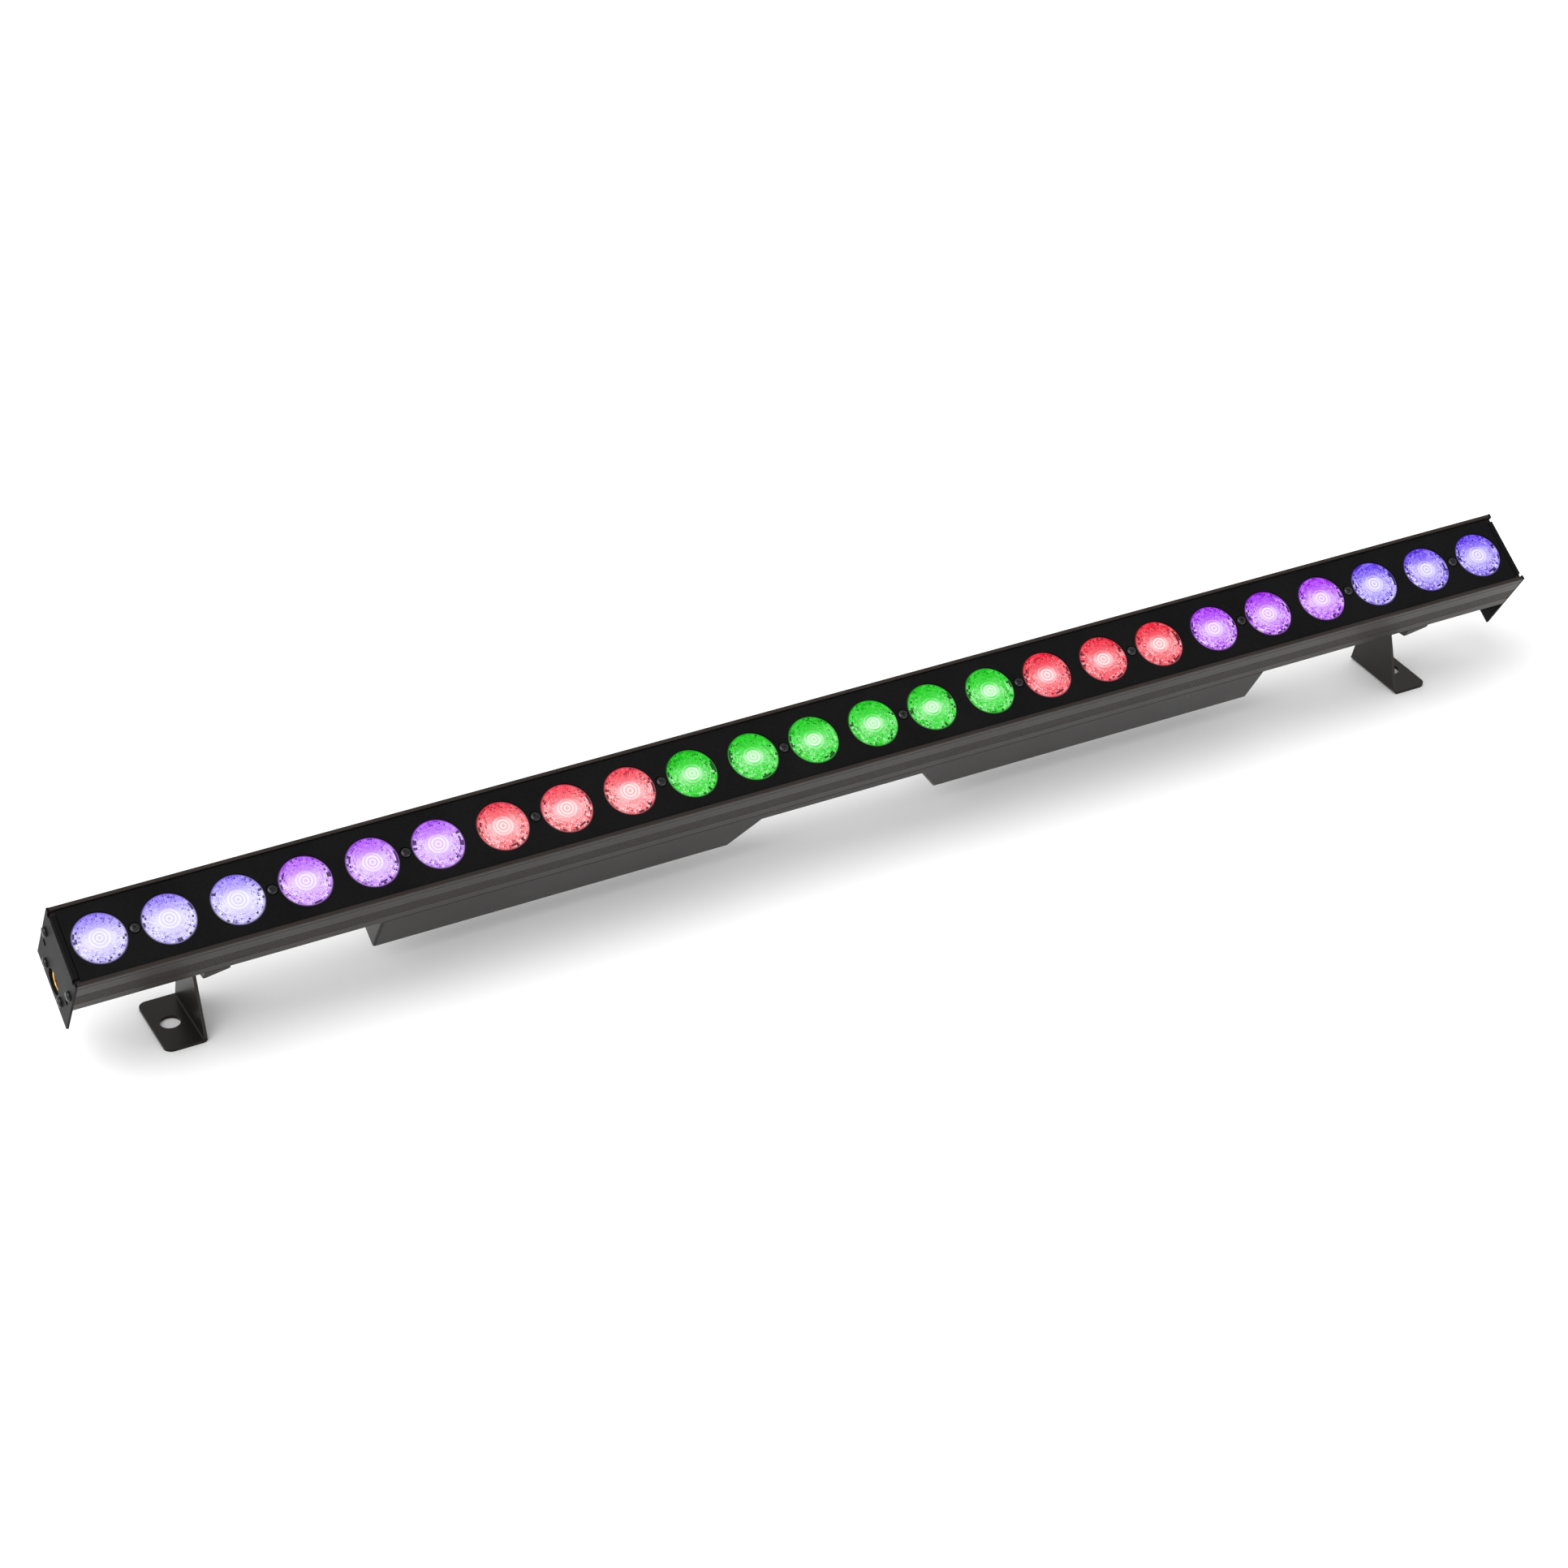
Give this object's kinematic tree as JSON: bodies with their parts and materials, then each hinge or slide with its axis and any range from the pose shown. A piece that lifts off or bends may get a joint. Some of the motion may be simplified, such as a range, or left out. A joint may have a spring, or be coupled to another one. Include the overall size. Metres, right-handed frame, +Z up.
{
  "type": "led strip batten",
  "caption": "Metre-long stage light bar with a row of colour-lit lenses, fluted body, driver boxes underneath and two tilting floor brackets.",
  "frame": {"origin": "on the floor, under the middle of the object's box", "axes": "+X along the bar, to the viewer's right; +Z up; the lens face leans towards -Y"},
  "size_m": [1.004, 0.0795, 0.1077],
  "materials": {
    "black_anodised": "black anodised aluminium, satin, drawn along the bar",
    "black_powder": "fine textured black powder coat",
    "black_paint": "satin black paint",
    "black_screw": "blackened steel",
    "zinc_steel": "zinc plated steel",
    "brass": "turned brass",
    "lens_lavender": "clear moulded optic, lit pale lavender",
    "lens_violet": "clear moulded optic, lit violet",
    "lens_rose": "clear moulded optic, lit rose red",
    "lens_green": "clear moulded optic, lit green",
    "lens_red": "clear moulded optic, lit red",
    "lens_magenta": "clear moulded optic, lit purple",
    "lens_blue": "clear moulded optic, lit blue violet",
    "tray_black": "matt black moulding",
    "board_white": "white solder mask on aluminium",
    "emitter": "ceramic package with a silicone dome",
    "board_green": "green solder mask with parts",
    "socket_black": "matt black moulding",
    "socket_blue": "blue moulding",
    "latch_grey": "grey moulding",
    "window_smoke": "smoked acrylic",
    "button_black": "matt black key",
    "knob_black": "matt black moulded nylon"
  },
  "bodies": {
    "bar": {"housing_extrusion": "black_anodised", "lens_panel": "black_powder", "panel_screws": "black_screw", "lens_01": "lens_lavender", "lens_02": "lens_lavender", "lens_03": "lens_lavender", "lens_04": "lens_violet", "lens_05": "lens_violet", "lens_06": "lens_violet", "lens_07": "lens_rose", "lens_08": "lens_rose", "lens_09": "lens_rose", "lens_10": "lens_green", "lens_11": "lens_green", "lens_12": "lens_green", "lens_13": "lens_green", "lens_14": "lens_green", "lens_15": "lens_green", "lens_16": "lens_red", "lens_17": "lens_red", "lens_18": "lens_red", "lens_19": "lens_magenta", "lens_20": "lens_magenta", "lens_21": "lens_magenta", "lens_22": "lens_blue", "lens_23": "lens_blue", "lens_24": "lens_blue", "lens_tray_left": "tray_black", "lens_tray_right": "tray_black", "led_board_left": "board_white", "led_board_right": "board_white", "led_emitters": "emitter", "end_plate_left": "black_powder", "end_plate_right": "black_powder", "case_screws": "black_screw", "link_blocks": "black_anodised", "link_bushes": "brass", "driver_cover": "black_paint", "cover_posts": "zinc_steel", "power_inlet": "socket_blue", "power_outlet": "socket_black", "data_inlet": "socket_black", "data_outlet": "socket_black", "display_window": "window_smoke", "control_board": "board_green", "psu_board": "board_green", "driver_board": "board_green", "hanger_left": "black_paint", "hanger_right": "black_paint", "hanger_screws": "black_screw", "pivot_bolts": "zinc_steel"},
    "bracket_left": {"bracket_left": "black_paint"},
    "bracket_right": {"bracket_right": "black_paint"},
    "clamp_knob_left": {"clamp_knob_left": "knob_black"},
    "clamp_knob_right": {"clamp_knob_right": "knob_black"},
    "data_latch": {"data_latch": "latch_grey"},
    "button_1": {"button_1": "button_black"},
    "button_2": {"button_2": "button_black"},
    "button_3": {"button_3": "button_black"},
    "button_4": {"button_4": "button_black"}
  },
  "joints": [
    {"name": "bracket_left_tilt", "type": "hinge", "parent": "bar", "child": "bracket_left", "pos_m": [-0.4198, 0.00791, 0.0525], "axis": [1, 0, 0], "range_deg": [-48, 112]},
    {"name": "clamp_knob_left_turn", "type": "hinge", "parent": "bar", "child": "clamp_knob_left", "pos_m": [-0.4095, 0.00791, 0.0525], "axis": [1, 0, 0], "range_deg": [0, 360]},
    {"name": "bracket_right_tilt", "type": "hinge", "parent": "bar", "child": "bracket_right", "pos_m": [0.4198, 0.00791, 0.0525], "axis": [1, 0, 0], "range_deg": [-48, 112]},
    {"name": "clamp_knob_right_turn", "type": "hinge", "parent": "bar", "child": "clamp_knob_right", "pos_m": [0.4321, 0.00791, 0.0525], "axis": [1, 0, 0], "range_deg": [0, 360]},
    {"name": "button_1_press", "type": "slide", "parent": "bar", "child": "button_1", "axis": [0, -0.5299, 0.848], "range_m": [0, 0.0008], "stiffness_N_per_m": 800},
    {"name": "button_2_press", "type": "slide", "parent": "bar", "child": "button_2", "axis": [0, -0.5299, 0.848], "range_m": [0, 0.0008], "stiffness_N_per_m": 800},
    {"name": "button_3_press", "type": "slide", "parent": "bar", "child": "button_3", "axis": [0, -0.5299, 0.848], "range_m": [0, 0.0008], "stiffness_N_per_m": 800},
    {"name": "button_4_press", "type": "slide", "parent": "bar", "child": "button_4", "axis": [0, -0.5299, 0.848], "range_m": [0, 0.0008], "stiffness_N_per_m": 800},
    {"name": "data_latch_press", "type": "slide", "parent": "bar", "child": "data_latch", "axis": [0.8462, -0.2823, 0.4519], "range_m": [0, 0.0012], "stiffness_N_per_m": 800}
  ]
}
